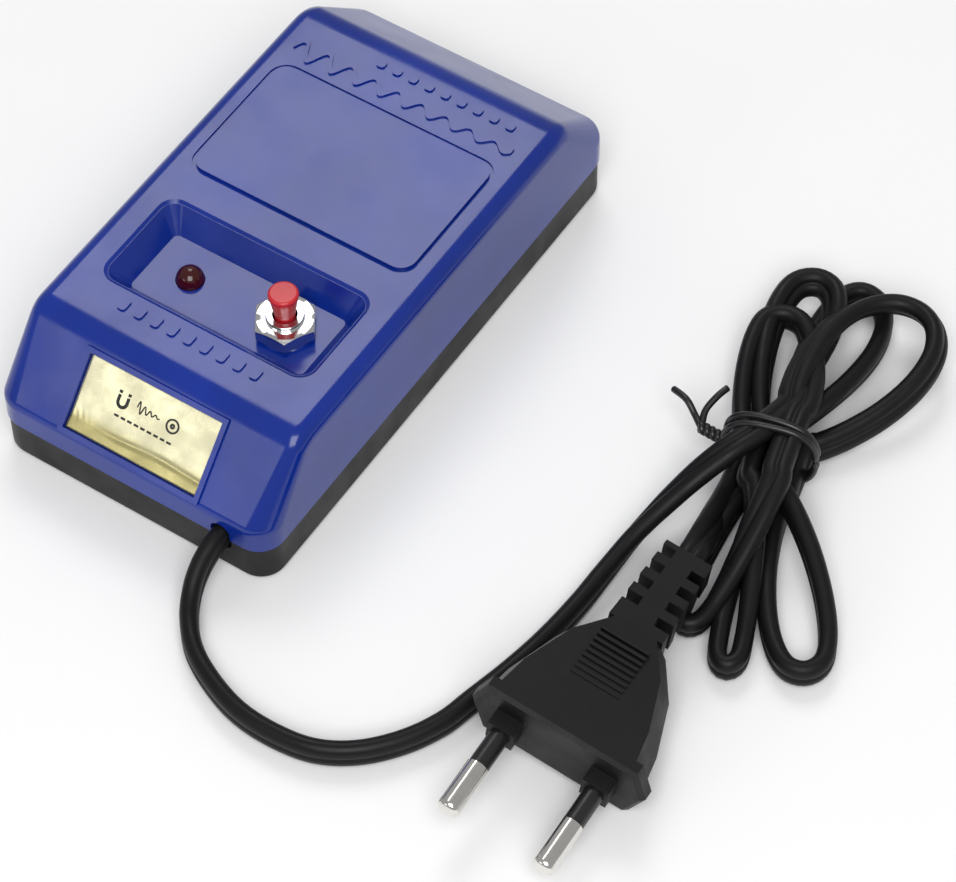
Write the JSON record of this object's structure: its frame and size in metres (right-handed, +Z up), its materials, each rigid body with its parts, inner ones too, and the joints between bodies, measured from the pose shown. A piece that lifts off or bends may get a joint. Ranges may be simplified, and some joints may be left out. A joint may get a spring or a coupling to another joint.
{
  "type": "bench demagnetizer",
  "caption": "Desk-top mains demagnetizer: low plastic box with a raised working panel, a red push button and a lamp in a recess, and a tied flat cord ending in a two-pin plug.",
  "frame": {"origin": "centre of the housing's footprint, on the table under its base", "axes": "+X to the right seen from the button end, +Y from the button end to the rear, +Z up"},
  "size_m": [0.144, 0.1339, 0.0327],
  "materials": {
    "housing_blue": "glossy moulded plastic",
    "base_grey": "fine textured moulded plastic",
    "label_foil": "pale gold foil label",
    "steel": "zinc plated steel",
    "lamination_steel": "blued silicon steel",
    "bobbin_plastic": "natural nylon",
    "copper_wire": "enamelled copper wire",
    "winding_tape": "polyester tape",
    "brass": "plain brass",
    "nickel": "nickel plated",
    "lamp_red": "tinted epoxy",
    "resistor_tan": "lacquered",
    "diode_black": "moulded epoxy",
    "switch_black": "moulded phenolic",
    "spring_steel": "bright spring steel",
    "button_red": "glossy moulded plastic",
    "clamp_white": "moulded nylon",
    "cord_black": "glossy soft vinyl",
    "wire_brown": "vinyl insulation",
    "wire_blue": "vinyl insulation",
    "wire_red": "vinyl insulation",
    "plug_black": "dull moulded vinyl",
    "sleeve_black": "smooth moulded plastic"
  },
  "bodies": {
    "housing": {"top_cover": "housing_blue", "base_tray": "base_grey", "label_plate": "label_foil", "housing_screws": "steel", "core_laminations": "lamination_steel", "coil_bobbin": "bobbin_plastic", "coil_winding": "copper_wire", "coil_tape": "winding_tape", "coil_terminals": "brass", "core_bracket_front": "steel", "core_bracket_rear": "steel", "core_bolts": "steel", "core_nuts": "steel", "core_screws": "steel", "indicator_led": "lamp_red", "led_leads": "steel", "led_resistor": "resistor_tan", "led_diode": "diode_black", "switch_body": "switch_black", "switch_bushing": "nickel", "switch_washer": "nickel", "switch_nut": "nickel", "switch_terminals": "brass", "return_spring": "spring_steel", "cord_clamp": "clamp_white", "clamp_screws": "steel", "cord_inner": "cord_black", "wire_live": "wire_brown", "wire_neutral": "wire_blue", "wire_switched": "wire_brown", "wire_lamp_feed": "wire_red", "wire_lamp_return": "wire_red", "cord_lead": "cord_black", "cord_hank": "cord_black", "cord_tail": "cord_black", "twist_tie": "sleeve_black", "plug_body": "plug_black", "plug_relief": "plug_black", "pin_sleeves": "sleeve_black", "plug_pins": "nickel"},
    "button": {"button_cap": "button_red", "button_plunger": "switch_black", "contact_bridge": "brass"}
  },
  "joints": [
    {"name": "button_press", "type": "slide", "parent": "housing", "child": "button", "axis": [0, 0, -1], "range_m": [0, 0.002], "stiffness_N_per_m": 600, "springref_m": -0.003, "deforming": ["return_spring"]}
  ]
}
